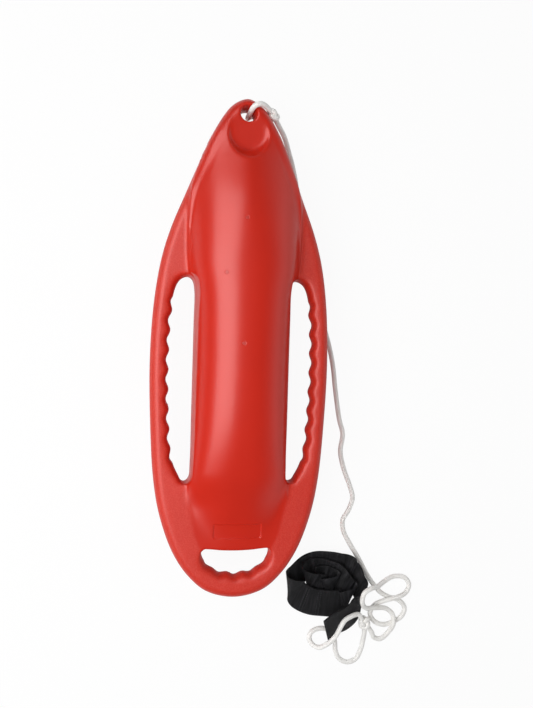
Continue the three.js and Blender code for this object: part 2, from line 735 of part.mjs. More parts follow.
// The least gap between parts of a rope that lie more than three diameters apart along it
function leastSelfGap(curve) {
  const points = curve.getSpacedPoints(Math.round(curve.getLength() / (ropeRadius / 2)));
  const apart = Math.round((3 * ropeDiameter) / (ropeRadius / 2));
  let least = Infinity;
  points.forEach((p, i) => {
    for (let k = i + apart; k < points.length; k += 1) least = Math.min(least, p.distanceTo(points[k]));
  });
  return least - ropeDiameter;
}

function knotMesh(knot) {
  const egg = new THREE.SphereGeometry(knotWide / 2, 20, 12);
  egg.scale(1, knotLong / knotWide, 1);
  egg.rotateZ(knot.turn);
  const mesh = meshOf(knot.name, egg, white);
  mesh.position.set(...knot.centre);
  return mesh;
}

// The run stops a little short of the bundle, and each rope short of its knot
function shortOf(place, before) {
  const to = new THREE.Vector3(...place);
  const back = new THREE.Vector3(...before).sub(to).normalize();
  return to.addScaledVector(back, mouthGap).toArray();
}

// The strap is a band whose lower edge follows its route. It leans over as slumped webbing
// does, and turns partly with the route where that runs the way that it leans.
function strapGeometry() {
  const lift = (i) => {
    const f = THREE.MathUtils.smoothstep(i / (strapRoute.length - 1), ...strapLiftShares);
    return strapRest + strapTailLift * f;
  };
  const curve = curveOf(strapRoute.map(([x, y], i) => [x, y, lift(i)]));
  const steps = 110;
  const rings = [];
  for (let i = 0; i <= steps; i += 1) {
    const at = curve.getPointAt(i / steps);
    const along = curve.getTangentAt(i / steps);
    const lean = new THREE.Vector3(...strapLeanShares);
    lean.z += (strapEndRiseShare * (at.z - strapRest)) / strapTailLift;
    lean.normalize();
    const up = lean.clone().addScaledVector(along, -strapTurnShare * along.dot(lean)).normalize();
    const face = along.clone().cross(up).normalize().multiplyScalar(strapThickness / 2);
    const top = at.clone().addScaledVector(up, strapWidth);
    rings.push([at.clone().add(face), at.clone().sub(face), top.clone().sub(face), top.clone().add(face)]);
  }
  return skin(rings);
}

const buoy = new THREE.Group();
const float = new THREE.Group();
float.position.z = midHeight;
float.add(floatShell(), meshOf("foam_core", fillGeometry(coreClearance), foam));
float.add(...plugPlaces.map(plugMesh));
buoy.add(float);

const line = new THREE.Group();
const bundle = curveOf([...bundleRoute, knotMouth(strapKnot, bundleRoute[bundleRoute.length - 1])]);
const hitch = curveOf([
  knotMouth(strapKnot, hitchRoute[0]), ...hitchRoute,
  knotMouth(strapKnot, hitchRoute[hitchRoute.length - 1]),
]);
const run = curveOf([
  knotMouth(noseKnot, runRoute[0]), ...runRoute, shortOf(bundleRoute[0], runRoute[runRoute.length - 1]),
]);
const noseLoop = curveOf([
  knotMouth(noseKnot, noseLoopRoute[0]), ...noseLoopRoute,
  knotMouth(noseKnot, noseLoopRoute[noseLoopRoute.length - 1]),
]);
line.add(
  meshOf("nose_loop", tubeGeometry(noseLoop, 36, 8), white),
  knotMesh(noseKnot),
  meshOf("towline_run", extrudedRope(run, 64), white),
  meshOf("towline_bundle", tubeGeometry(bundle, 80, 6), white),
  knotMesh(strapKnot),
  meshOf("strap_hitch", tubeGeometry(hitch, 42, 6), white),
  meshOf("shoulder_strap", strapGeometry(), black),
);
buoy.add(line);

for (const [name, curve] of [["bundle", bundle], ["hitch", hitch]]) {
  console.log("least gap of the " + name + " to itself: " + leastSelfGap(curve).toFixed(2) + " mm");
}

export default buoy;
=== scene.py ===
"""A rescue can buoy on a white studio floor: a red float, its white towline and its black shoulder strap.

Lengths are in millimetres and turned to Blender's metres where a mesh is made. The frame is the part's
own: the floor is at z = 0, +Z is up and the float's nose points to +Y.
"""

import math

import bmesh
import bpy
import numpy as np
from mathutils import Matrix


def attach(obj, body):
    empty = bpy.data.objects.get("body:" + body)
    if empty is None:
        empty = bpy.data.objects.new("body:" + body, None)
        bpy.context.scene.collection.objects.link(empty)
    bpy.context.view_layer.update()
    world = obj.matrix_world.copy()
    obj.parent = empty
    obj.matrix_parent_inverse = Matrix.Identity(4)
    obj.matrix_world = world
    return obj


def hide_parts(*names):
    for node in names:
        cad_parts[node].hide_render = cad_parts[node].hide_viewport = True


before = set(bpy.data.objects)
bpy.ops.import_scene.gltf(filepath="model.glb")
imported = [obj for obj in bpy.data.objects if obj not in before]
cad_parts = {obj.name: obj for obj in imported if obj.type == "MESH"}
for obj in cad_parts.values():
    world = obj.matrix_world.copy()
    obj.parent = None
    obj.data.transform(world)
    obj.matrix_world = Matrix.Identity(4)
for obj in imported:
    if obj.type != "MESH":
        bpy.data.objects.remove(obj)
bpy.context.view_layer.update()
mm = 0.001
scene = bpy.context.scene

# Camera. The float was photographed from straight above its middle and a little to its left,
# so that the strap, which stands on edge, shows its near faces.
photo_long_side = 708
focal_pixels = 693.6
camera_place = (-141.4, -4.8, 1057.4)
camera_turns = [(-1.62, "Z"), (0.14, "X"), (10.32, "Y")]
room_to_camera = Matrix.Identity(3)
for degrees, axis in camera_turns:
    room_to_camera = room_to_camera @ Matrix.Rotation(math.radians(degrees), 3, axis)
lens = bpy.data.cameras.new("studio_camera")
lens.lens = lens.sensor_width * focal_pixels / photo_long_side
lens.clip_start = 0.01
camera = bpy.data.objects.new("studio_camera", lens)
camera_stand = Matrix.Translation([mm * c for c in camera_place])
camera.matrix_world = camera_stand @ room_to_camera.transposed().to_4x4()
scene.collection.objects.link(camera)
scene.camera = camera

# Towline. A rope of white polypropylene filament, braided from sixteen flat bundles that
# cross over and under each other. It runs from the nose knot under the right wing, back along
# the floor, and falls in loose loops beside the strap before it is tied to it.
rope_diameter = 7.6
braid_groove = 0.42
braid_lead = 3
braid_bundles = 8
bundle_fullness = 0.6
bundle_dip = 0.4
rope_sides = 32
rope_step = 0.78
run_route = [
    (51, 328, 52), (60.5, 321, 38), (68, 312.5, 26), (75, 300, 15), (81, 288, 8), (85, 276, 4.6),
    (88.5, 262, 4), (92, 240, 4), (97, 205, 4), (106, 160, 4), (117, 110, 4), (130, 65, 4),
    (142, 33, 4), (150, 7, 4), (157, -24, 4), (162, -61, 4), (170, -108, 4), (176, -130, 4),
    (173, -158, 4), (180, -187, 4), (190, -212, 4), (195, -231, 4), (189, -250, 4),
    (180, -266, 4), (182, -284, 4), (193, -304, 4), (207, -326, 4), (220, -349, 4),
    (228, -361.5, 4),
]
bundle_route = [
    (233, -368, 4), (246, -382, 4), (260, -390, 4.6), (276, -395, 6), (287, -408, 4),
    (283, -421, 4), (268, -430, 4), (252, -434, 4), (237, -428, 4), (229.5, -415, 4),
    (236, -402, 5.2), (247, -394.5, 10), (261, -389.5, 14), (276, -386.5, 12.5), (289, -381, 7),
    (293.5, -370, 4), (285, -359.5, 4), (267, -357.5, 4), (250, -363, 9.5), (234, -366, 24),
    (218, -363.5, 39.5), (206.5, -369, 42.5), (204.5, -383, 38.5), (214.5, -398, 26.5),
    (233, -402, 16.5), (253, -406, 10), (265, -416, 9.5), (266, -430, 12.4), (261, -445, 5.5),
    (248, -456.5, 4), (236.5, -453, 5), (231.5, -443.5, 8.5),
]
hitch_route = [
    (205.3, -410.5, 18.7), (190.5, -411.5, 24.6), (181, -416, 27.1), (175, -425, 27.1),
    (170, -437, 25.1), (162.5, -447.5, 22.6), (153, -456, 19.2), (144.5, -461, 14.5),
    (137, -460, 8.5), (131, -451, 4.1), (134.5, -440.5, 4), (148, -435.5, 4), (162, -439, 4),
    (170, -448, 4), (173, -460, 4), (174, -471, 4), (180, -484, 4), (194, -491, 4), (208, -486, 4),
    (215.5, -472, 4), (218.5, -457, 5.5), (219, -446, 9),
]
nose_loop_route = [
    (27.2, 342.4, 85.5), (20, 343.6, 93.8), (13, 342.4, 98.6), (8, 340, 98.4), (4.9, 337.6, 95.4),
    (3.6, 335.9, 90.5), (3.6, 335.8, 84), (3.6, 335.8, 72.4), (3.6, 335.8, 61), (3.6, 335.9, 54.3),
    (4.9, 337.6, 49.4), (8, 340, 46.4), (13, 342.4, 46.2), (20, 343.6, 51), (27.2, 342.4, 58.5),
]
knot_wide = 16
knot_long = 22
knot_bite = 1
nose_knot_place = {"centre": (38, 338, 71.5), "turn": 38}
strap_knot_place = {"centre": (218.5, -426, 12), "turn": 20}


def smooth_line(points, step, closed=False):
    """Points one step apart on a smooth curve through the given ones, with no overshoot at close ones."""
    fine_steps = 24
    given = np.array(points, float)
    if closed:
        knots = np.vstack([given[-1:], given, given[:2]])
    else:
        knots = np.vstack([2 * given[0] - given[1], given, 2 * given[-1] - given[-2]])
    spans = np.linalg.norm(np.diff(knots, axis=0), axis=1) ** 0.5
    share = np.linspace(0, 1, fine_steps, endpoint=False)[:, None]
    made = []
    for i in range(1, len(knots) - 2):
        before, span, after = spans[i - 1:i + 2]
        a, b, c, d = knots[i - 1:i + 3]
        leaving = ((b - a) / before - (c - a) / (before + span) + (c - b) / span) * span
        arriving = ((c - b) / span - (d - b) / (span + after) + (d - c) / after) * span
        square = share * share
        made.append(b + share * leaving + square * (3 * (c - b) - 2 * leaving - arriving)
                    + square * share * (2 * (b - c) + leaving + arriving))
    fine = np.vstack([*made, knots[-2:-1]])
    along = np.concatenate([[0], np.cumsum(np.linalg.norm(np.diff(fine, axis=0), axis=1))])
    even = np.linspace(0, along[-1], max(2, round(along[-1] / step)) + 1)
    line = np.column_stack([np.interp(even, along, fine[:, k]) for k in range(fine.shape[1])])
    return line[:-1] if closed else line


def unit(vectors):
    return vectors / np.linalg.norm(vectors, axis=-1, keepdims=True)


def carried_sides(along):
    """A sideways direction for each point of a path, turned as little as can be from the one before."""
    sides = [np.array((0, 0, 1.0) if abs(along[0][2]) < 0.8 else (1.0, 0, 0))]
    for direction in along:
        sides.append(unit(sides[-1] - direction * sides[-1].dot(direction)))
    return np.array(sides[1:])


def mesh_object(name, points, faces, material):
    """An object at the origin whose mesh has the given points, in millimetres, and faces."""
    mesh = bpy.data.meshes.new(name)
    mesh.from_pydata((np.asarray(points) * mm).tolist(), [], [list(map(int, face)) for face in faces])
    mesh.polygons.foreach_set("use_smooth", [True] * len(mesh.polygons))
    mesh.materials.append(material)
    mesh.update()
    made = bpy.data.objects.new(name, mesh)
    scene.collection.objects.link(made)
    return made


def point_values(made, name, values):
    """A value for each point of a mesh, which its material reads by name."""
    kept = made.data.attributes.new(name, "FLOAT", "POINT")
    kept.data.foreach_set("value", np.asarray(values, np.float32))


def ring_faces(rings, sides):
    """Quads between closed rings of points."""
    start = np.arange(rings - 1)[:, None] * sides
    a = (start + np.arange(sides)).ravel()
    b = (start + (np.arange(sides) + 1) % sides).ravel()
    return np.column_stack([a, b, b + sides, a + sides]).tolist()


def rope_object(name, path, material):
    """A braided rope round a path. Each bundle of filament bulges where it lies over another."""
    along = unit(np.gradient(path, axis=0))
    side = carried_sides(along)
    other = np.cross(along, side)
    reach = np.concatenate([[0], np.cumsum(np.linalg.norm(np.diff(path, axis=0), axis=1))])
    angle = 2 * np.pi * np.arange(rope_sides) / rope_sides
    turns = braid_bundles * angle[None] / (2 * np.pi)
    right = turns + reach[:, None] / braid_lead
    left = turns - reach[:, None] / braid_lead
    right_over = (np.floor(right) + np.floor(left)) % 2 == 0
    across = np.where(right_over, right, left) % 1
    lengthwise = np.where(right_over, left, right) % 1
    crown = (np.sin(np.pi * across) ** bundle_fullness
             * (1 - bundle_dip * (1 - np.sin(np.pi * lengthwise))))
    radius = rope_diameter / 2 - braid_groove * (1 - crown)
    rings = path[:, None] + radius[..., None] * (
        np.cos(angle)[:, None] * side[:, None] + np.sin(angle)[:, None] * other[:, None])
    tips = [path[0] - along[0] * braid_groove, path[-1] + along[-1] * braid_groove]
    points = np.vstack([rings.reshape(-1, 3), tips])
    faces = ring_faces(len(path), rope_sides)
    first, last = len(points) - 2, len(points) - 1
    start = (len(path) - 1) * rope_sides
    for k in range(rope_sides):
        following = (k + 1) % rope_sides
        faces.append((first, following, k))
        faces.append((last, start + k, start + following))
    made = mesh_object(name, points, faces, material)
    point_values(made, "crown", np.concatenate([crown.ravel(), [0, 0]]))
    return made


def knot_mouth(knot, place):
    """Just inside where a line from a knot's middle towards a place leaves the knot."""
    centre = np.array(knot["centre"], float)
    out = unit(np.array(place, float) - centre)
    turn = math.radians(-knot["turn"])
    across = out[0] * math.cos(turn) - out[1] * math.sin(turn)
    lengthwise = out[0] * math.sin(turn) + out[1] * math.cos(turn)
    reach = 0.5 / math.hypot(across / knot_wide, lengthwise / knot_long, out[2] / knot_wide)
    return tuple(centre + out * (reach - knot_bite))


def linear(colour):
    """The linear colour of an sRGB hex value such as #C8281C."""
    parts = [int(colour[i:i + 2], 16) / 255 for i in (1, 3, 5)]
    return (*[p / 12.92 if p <= 0.04045 else ((p + 0.055) / 1.055) ** 2.4 for p in parts], 1)


def add_node(tree, kind, inputs=None, **settings):
    """A node with its settings, a shader node where its kind says no other. An input is set to a value,
    or linked to an output or to a node's first output in use."""
    node = tree.nodes.new(kind if "Node" in kind else "ShaderNode" + kind)
    for name, value in settings.items():
        setattr(node, name, value)
    for name, value in (inputs or {}).items():
        if isinstance(value, bpy.types.Node):
            value = next(output for output in value.outputs if output.enabled)
        if isinstance(value, bpy.types.NodeSocket):
            tree.links.new(value, node.inputs[name])
        else:
            node.inputs[name].default_value = value
    return node


def empty_material(name):
    """A material and its node tree, which has no nodes yet."""
    material = bpy.data.materials.new(name)
    material.use_nodes = True
    material.node_tree.nodes.clear()
    return material, material.node_tree


# Braided polypropylene: matt white filament with a little grime here and there, and painted shade:
# the braid's grooves are painted a warm grey.
rope_material, tree = empty_material("braided_polypropylene_rope")
place = add_node(tree, "TexCoord").outputs["Object"]
crown = add_node(tree, "Attribute", attribute_name="crown").outputs["Fac"]
filament = add_node(tree, "TexNoise", {"Vector": place, "Scale": 1 / 0.0006, "Detail": 1.5})
grime = add_node(tree, "TexNoise", {"Vector": place, "Scale": 1 / 0.05, "Detail": 3})
grime_share = add_node(tree, "MapRange", {
    "Value": grime, "From Min": 0.5, "From Max": 0.78, "To Max": 0.15})
# Painted shade: where the braid's crown is low, in its grooves, the white is painted a warm grey
groove_shade_share = add_node(tree, "MapRange", {"Value": crown, "From Min": 0.1, "From Max": 0.8})
braid_with_painted_groove_shade = add_node(tree, "Mix", {
    0: groove_shade_share, 6: linear("#E4E0D8"), 7: linear("#FDFCFA")}, data_type="RGBA")
soiled = add_node(tree, "Mix", {0: grime_share, 6: braid_with_painted_groove_shade, 7: linear("#DDD5C6")}, data_type="RGBA")
fuzz = add_node(tree, "Bump", {"Height": filament, "Strength": 0.4, "Distance": 0.0002})
shader = add_node(tree, "BsdfPrincipled", {
    "Base Color": soiled, "Roughness": 0.62, "IOR": 1.49, "Sheen Weight": 0.15, "Normal": fuzz})
add_node(tree, "OutputMaterial", {"Surface": shader})


def tied_path(first_knot, route, last_knot):
    """The rope's path from one knot to another."""
    ends = knot_mouth(first_knot, route[0]), knot_mouth(last_knot, route[-1])
    return smooth_line([ends[0], *route, ends[1]], rope_step)


towline_path = tied_path(nose_knot_place, run_route + bundle_route, strap_knot_place)
hitch_path = tied_path(strap_knot_place, hitch_route, strap_knot_place)
nose_loop_path = tied_path(nose_knot_place, nose_loop_route, nose_knot_place)
towline = rope_object("towline", towline_path, rope_material)
strap_hitch = rope_object("hitch_round_strap", hitch_path, rope_material)
nose_loop = rope_object("loop_through_nose", nose_loop_path, rope_material)

# Knots. An overhand knot in the same rope closes the loop at the nose, and another makes the
# hitch round the strap. Each is the rope itself, drawn tight.
knot_ring = 5.3
knot_winding = 3.35
knot_flatness = 1.05
knot_gap_share = 0.035
knot_points = 90


def overhand_knot(name, knot, tilt):
    """The rope through a tight overhand knot: two laps, and three turns round them on the way."""
    turn = np.linspace(knot_gap_share, 1 - knot_gap_share, knot_points) * 4 * np.pi
    ring = knot_ring + knot_winding * np.cos(1.5 * turn)
    height = knot_winding * knot_flatness * np.sin(1.5 * turn)
    path = np.column_stack([ring * np.cos(turn), ring * np.sin(turn), height])
    stretch = knot_long / (2 * (knot_ring + knot_winding) + rope_diameter)
    path[:, 1] *= stretch
    turned = Matrix.Rotation(math.radians(knot["turn"]), 3, "Z")
    tilted = Matrix.Rotation(math.radians(tilt), 3, "Y")
    path = path @ np.array(turned @ tilted).T + np.array(knot["centre"])
    return rope_object(name, smooth_line(path, rope_step), rope_material)


nose_knot = overhand_knot("knot_at_nose", nose_knot_place, tilt=70)
strap_knot = overhand_knot("knot_at_strap", strap_knot_place, tilt=8)
for piece, *nodes in [(towline, "towline_run", "towline_bundle"), (strap_hitch, "strap_hitch"),
                      (nose_loop, "nose_loop"), (nose_knot, "nose_knot"), (strap_knot, "strap_knot")]:
    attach(piece, "towline")
    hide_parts(*nodes)

# Shoulder strap. An endless loop of 50 mm black nylon webbing, pressed flat so that two layers
# lie face to face, coiled loosely on its edge and slumped over.
webbing_width = 50
webbing_thickness = 1.05
layer_spacing = 1.42
strap_rest = 1.5
strap_end_lift = 8.5
strap_lift_shares = (0.891, 0.957)
strap_lean = (-0.1, 0.93, 0.35)
strap_left_lean, strap_left_places = 0.06, (150, 97)
strap_end_rise = 0.12
strap_turn_share = 0.5
rib_pitch, warp_pitch = 1.6, 1.1
rib_height = 0.07
selvedge_share, selvedge_slope = 0.6, 9
webbing_step = 0.53
webbing_rows, webbing_rim = 14, 0.012
bend_points = 7
strap_route = [
    (143, -379.5), (147, -378.5), (151, -380), (157, -382), (163, -386.5), (161, -392.5),
    (150, -393.5), (136, -390), (127.5, -383.5), (127, -375.5), (131.5, -368.5), (137, -366.5),
    (143, -367.5), (151, -370), (163, -374.5), (172, -381.5), (178.5, -389.5), (185.5, -398),
    (192, -405.5), (190, -414), (172, -418.5),
    (150, -417), (130, -414), (113, -407.5), (101, -399.5), (95.5, -390.5), (98, -382), (105, -375.5),
    (112.5, -369), (119, -364), (127, -359.5), (137, -356.8), (149, -357), (162, -358.5), (174, -361),
    (182, -362.4), (187, -365), (191, -370.5), (198, -380), (204.5, -392), (211, -405), (213, -417),
    (205, -429), (190, -438), (177, -442), (169, -447), (161, -453),
]


def smooth_share(low, high, value):
    share = np.clip((value - low) / (high - low), 0, 1)
    return share * share * (3 - 2 * share)


def strap_frame():
    """The strap's lower edge, and its directions along, up and outwards from its face there."""
    shares = np.linspace(0, 1, len(strap_route))
    lift = strap_rest + strap_end_lift * smooth_share(*strap_lift_shares, shares)
    edge = smooth_line([(*p, z) for p, z in zip(strap_route, lift)], webbing_step)
    along = unit(np.gradient(edge, axis=0))
    lean = np.tile(np.array(strap_lean), (len(edge), 1))
    lean[:, 0] += (strap_left_lean - strap_lean[0]) * smooth_share(*strap_left_places, edge[:, 0])
    lean[:, 2] += strap_end_rise * (edge[:, 2] - strap_rest) / strap_end_lift
    lean = unit(lean)
    up = unit(lean - strap_turn_share * (along * lean).sum(axis=1, keepdims=True) * along)
    return edge, along, up, unit(np.cross(along, up))


def there_and_back(rows):
    """Rows out along the strap, held at its end's bend, back again, and held at its start's bend."""
    held = (bend_points, 1)
    return np.vstack([rows, np.tile(rows[-1], held), rows[::-1], np.tile(rows[0], held)])


def webbing_loop(edge, along, up, face):
    """Middle points, upward and outward directions of the band, out along one side of the strap and
    back on the other, with a tight bend at both ends."""
    bend = np.linspace(0, np.pi, bend_points + 2)[1:-1, None]
    far = np.cos(bend) * face[-1] + np.sin(bend) * along[-1]
    near = -np.cos(bend) * face[0] - np.sin(bend) * along[0]
    outward = np.vstack([face, far, -face[::-1], near])
    return there_and_back(edge) + layer_spacing / 2 * outward, there_and_back(up), outward


strap_path = strap_frame()
middles, upward, outward = webbing_loop(*strap_path)
gaps = np.linalg.norm(np.diff(middles, axis=0, prepend=middles[:1]), axis=1)
lengthwise = np.cumsum(gaps)
rise_shares = np.linspace(webbing_rim, 1 - webbing_rim, webbing_rows)
heights = np.concatenate([rise_shares, [1], rise_shares[::-1], [0]])
outer = np.concatenate([np.ones(webbing_rows), [0], -np.ones(webbing_rows), [0]])
edge_roundness = np.clip(selvedge_share + selvedge_slope * np.minimum(heights, 1 - heights), 0, 1)
half_thick = webbing_thickness / 2 + rib_height * np.sin(2 * np.pi * lengthwise / rib_pitch)
rings = (middles[:, None] + webbing_width * heights[None, :, None] * upward[:, None]
         + (half_thick[:, None] * (outer * edge_roundness)[None])[..., None] * outward[:, None])
sides = len(heights)
points = rings.reshape(-1, 3)
faces = ring_faces(len(rings), sides)
last_ring = (len(rings) - 1) * sides
faces += [(last_ring + k, last_ring + (k + 1) % sides, (k + 1) % sides, k) for k in range(sides)]

# Nylon webbing: a tight plain weave whose weft shows as fine ribs across the strap. It is near
# black, with a cool satin sheen where light rakes the ribs and a duller selvedge.
webbing_material, tree = empty_material("black_nylon_webbing")
place = add_node(tree, "TexCoord").outputs["Object"]
along_strap = add_node(tree, "Attribute", attribute_name="lengthwise").outputs["Fac"]
up_strap = add_node(tree, "Attribute", attribute_name="height").outputs["Fac"]
thread_place = add_node(tree, "CombineXYZ", {"X": along_strap, "Y": up_strap})
wave_scale = 0.31
weft = add_node(tree, "TexWave", {
    "Vector": thread_place, "Scale": wave_scale / rib_pitch, "Distortion": 0.5, "Detail": 1.5},
    bands_direction="X")
warp = add_node(tree, "TexWave", {
    "Vector": thread_place, "Scale": wave_scale / warp_pitch, "Distortion": 0.3}, bands_direction="Y")
streak_place = add_node(tree, "Mapping", {"Vector": thread_place, "Scale": (1, 0.06, 1)})
streaks = add_node(tree, "TexNoise", {"Vector": streak_place, "Scale": 0.42, "Detail": 3})
dust = add_node(tree, "TexNoise", {"Vector": place, "Scale": 1 / 0.02, "Detail": 4})
streak_share = add_node(tree, "MapRange", {
    "Value": streaks, "From Min": 0.45, "From Max": 0.66, "To Max": 1.0})
dust_share = add_node(tree, "MapRange", {
    "Value": dust, "From Min": 0.55, "From Max": 0.8, "To Max": 0.35})
dyed = add_node(tree, "Mix", {
    0: streak_share, 6: linear("#08080A"), 7: linear("#242327")}, data_type="RGBA")
dusty = add_node(tree, "Mix", {0: dust_share, 6: dyed, 7: linear("#2C2A2D")}, data_type="RGBA")
rough = add_node(tree, "MapRange", {"Value": streaks, "To Min": 0.42, "To Max": 0.62})
weave = add_node(tree, "Math", {0: weft.outputs["Fac"], 1: warp.outputs["Fac"]}, operation="ADD")
bump = add_node(tree, "Bump", {"Height": weave, "Strength": 0.7, "Distance": 0.00025})
shader = add_node(tree, "BsdfPrincipled", {
    "Base Color": dusty, "Roughness": rough, "IOR": 1.53, "Specular IOR Level": 0.25,
    "Sheen Weight": 0.1, "Sheen Roughness": 0.4, "Sheen Tint": linear("#8A8C96"), "Normal": bump})
add_node(tree, "OutputMaterial", {"Surface": shader})

strap = mesh_object("shoulder_strap_webbing", points, faces, webbing_material)
point_values(strap, "lengthwise", np.repeat(lengthwise, sides))
point_values(strap, "height", np.tile(heights * webbing_width, len(rings)))
solid = bmesh.new()
solid.from_mesh(strap.data)
bmesh.ops.recalc_face_normals(solid, faces=solid.faces)
solid.to_mesh(strap.data)
solid.free()

# Stitches: pairs of rows of black bonded thread that close the webbing into a loop and tack its
# two layers together. Each stitch is a short bead laid in the weave by Geometry Nodes.
stitch_long = 3.2
stitch_wide = 0.75
stitch_raised = 0.28
stitch_lift = 0.06
stitch_rows = (214, 219, 243, 248)
stitch_from, stitch_to, stitch_spacing = 3, 47, 4.1
thread_material, tree = empty_material("bonded_nylon_thread")
place = add_node(tree, "TexCoord").outputs["Object"]
ply = add_node(tree, "TexNoise", {"Vector": place, "Scale": 1 / 0.0004, "Detail": 2})
tone = add_node(tree, "Mix", {0: ply, 6: linear("#2A2A2E"), 7: linear("#505056")}, data_type="RGBA")
shader = add_node(tree, "BsdfPrincipled", {"Base Color": tone, "Roughness": 0.4, "IOR": 1.53})
add_node(tree, "OutputMaterial", {"Surface": shader})


def stitch_bead():
    """One stitch: a bead along X with a few dozen faces."""
    body = bmesh.new()
    bmesh.ops.create_uvsphere(body, u_segments=8, v_segments=5, radius=0.5)
    for v in body.verts:
        v.co = (mm * stitch_long * v.co.z, mm * stitch_wide * v.co.x, mm * stitch_raised * 2 * v.co.y)
    bmesh.ops.recalc_face_normals(body, faces=body.faces)
    mesh = bpy.data.meshes.new("stitch_bead")
    body.to_mesh(mesh)
    body.free()
    mesh.polygons.foreach_set("use_smooth", [True] * len(mesh.polygons))
    return bpy.data.objects.new("stitch_bead", mesh)


seats, turns = [], []
for row_along in stitch_rows:
    i = round(row_along / webbing_step)
    same_row_behind = 2 * len(strap_path[0]) + bend_points - 1 - i
    for j in (i, same_row_behind):
        x = unit(upward[j])
        z = unit(outward[j] - outward[j].dot(x) * x)
        turn = Matrix((x, np.cross(z, x), z)).transposed().to_euler()
        for height in np.arange(stitch_from, stitch_to, stitch_spacing):
            lift = webbing_thickness / 2 + stitch_lift
            seats.append(middles[j] + height * upward[j] + lift * outward[j])
            turns.append(tuple(turn))
stitches = mesh_object("strap_stitches", seats, [], thread_material)
turn_values = stitches.data.attributes.new("turn", "FLOAT_VECTOR", "POINT")
turn_values.data.foreach_set("vector", np.array(turns, np.float32).ravel())

stitching = bpy.data.node_groups.new("stitching", "GeometryNodeTree")
new_socket = stitching.interface.new_socket
new_socket("Seats", in_out="INPUT", socket_type="NodeSocketGeometry")
scale_input = new_socket("Stitch scale", in_out="INPUT", socket_type="NodeSocketFloat")
uneven_input = new_socket("Uneven lay", in_out="INPUT", socket_type="NodeSocketFloat")
new_socket("Stitches", in_out="OUTPUT", socket_type="NodeSocketGeometry")
given = add_node(stitching, "NodeGroupInput")
bead = add_node(stitching, "GeometryNodeObjectInfo", {"Object": stitch_bead()})
turn = add_node(stitching, "GeometryNodeInputNamedAttribute", {"Name": "turn"}, data_type="FLOAT_VECTOR")
least = add_node(stitching, "Math", {0: 1.0, 1: given.outputs["Uneven lay"]}, operation="SUBTRACT")
uneven = add_node(stitching, "FunctionNodeRandomValue", {2: least, 3: 1.0, "Seed": 7}, data_type="FLOAT")
size = add_node(stitching, "Math", {0: given.outputs["Stitch scale"], 1: uneven}, operation="MULTIPLY")
laid = add_node(stitching, "GeometryNodeInstanceOnPoints", {
    "Points": given.outputs["Seats"], "Instance": bead.outputs["Geometry"],
    "Rotation": turn.outputs["Attribute"], "Scale": size})
real = add_node(stitching, "GeometryNodeRealizeInstances", {"Geometry": laid})
dressed = add_node(stitching, "GeometryNodeSetMaterial", {
    "Geometry": real.outputs["Geometry"], "Material": thread_material})
add_node(stitching, "NodeGroupOutput", {"Stitches": dressed.outputs["Geometry"]})
modifier = stitches.modifiers.new("stitching", "NODES")
modifier.node_group = stitching
modifier[scale_input.identifier] = 1.0
modifier[uneven_input.identifier] = 0.18
evaluated = stitches.evaluated_get(bpy.context.evaluated_depsgraph_get())
laid_stitches = bpy.data.meshes.new_from_object(evaluated)
stitches.modifiers.remove(modifier)
stitches.data = laid_stitches

for piece in (strap, stitches):
    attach(piece, "towline")
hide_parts("shoulder_strap")

# Float. One rotomoulded shell of red polyethylene: a tapering hull with a flat rim round it, two
# side grips, a tail grip and a nose eye. The hull is smooth and satin, and the rim and grips
# are textured for a wet hand.
body_length = 711
body_width = 256
hull_thickness = 147.2
rim_thickness = 33
rim_round = 12.5
nose_round = 22
belly_land_depth = 1.2
half_length = body_length / 2
half_width = body_width / 2
half_hull = hull_thickness / 2
half_rim = rim_thickness / 2
mid_height = half_hull - belly_land_depth
plan_blend, rise_blend = 14, 5
outline_shares = [
    (0, 0), (0.0056, 0.097), (0.0174, 0.184), (0.0416, 0.281), (0.0819, 0.4), (0.142, 0.541),
    (0.2025, 0.675), (0.263, 0.805), (0.3235, 0.9), (0.408, 0.97), (0.52, 1), (0.644, 0.98),
    (0.7665, 0.926), (0.838, 0.846), (0.9086, 0.698), (0.956, 0.52), (0.987, 0.312), (1, 0),
]
hull_shares = np.array([
    (0, 0.62, 0.24, 1.95), (0.03, 0.62, 0.3, 1.8), (0.085, 0.62, 0.41, 1.7), (0.14, 0.62, 0.58, 1.7),
    (0.21, 0.625, 0.79, 1.8), (0.28, 0.625, 0.925, 2), (0.335, 0.61, 0.98, 2.2),
    (0.4, 0.56, 1, 2.25), (0.49, 0.543, 1, 2.25), (0.56, 0.541, 0.975, 2.25), (0.63, 0.541, 0.925, 2.3),
    (0.7, 0.543, 0.81, 2.4), (0.76, 0.548, 0.655, 2.6), (0.81, 0.55, 0.465, 3), (0.86, 0.51, 0.275, 3.4),
    (0.905, 0.445, 0.165, 3.4), (0.955, 0.31, 0.13, 3.2), (1, 0.15, 0.1, 3),
])


def eased_table(table, steps):
    """A finer table on cubics through the given rows, whose first column rises."""
    x, values = table[:, :1], table[:, 1:]
    rows = np.arange(len(table))
    low, high = np.maximum(rows - 1, 0), np.minimum(rows + 1, rows[-1])
    slopes = (values[high] - values[low]) / (x[high] - x[low])
    f = np.linspace(0, 1, steps, endpoint=False)[:, None]
    made = []
    for i in rows[:-1]:
        run = x[i + 1] - x[i]
        between = ((2 * f ** 3 - 3 * f ** 2 + 1) * values[i] + (f ** 3 - 2 * f ** 2 + f) * run * slopes[i]
                   + (3 * f ** 2 - 2 * f ** 3) * values[i + 1] + (f ** 3 - f ** 2) * run * slopes[i + 1])
        made.append(np.hstack([x[i] + run * f, between]))
    return np.vstack([*made, table[-1:]])


def both_sides(right):
    """A closed outline, from the right half of one that starts and ends on the middle line."""
    return right + [(-x, y) for x, y in right[1:-1][::-1]]


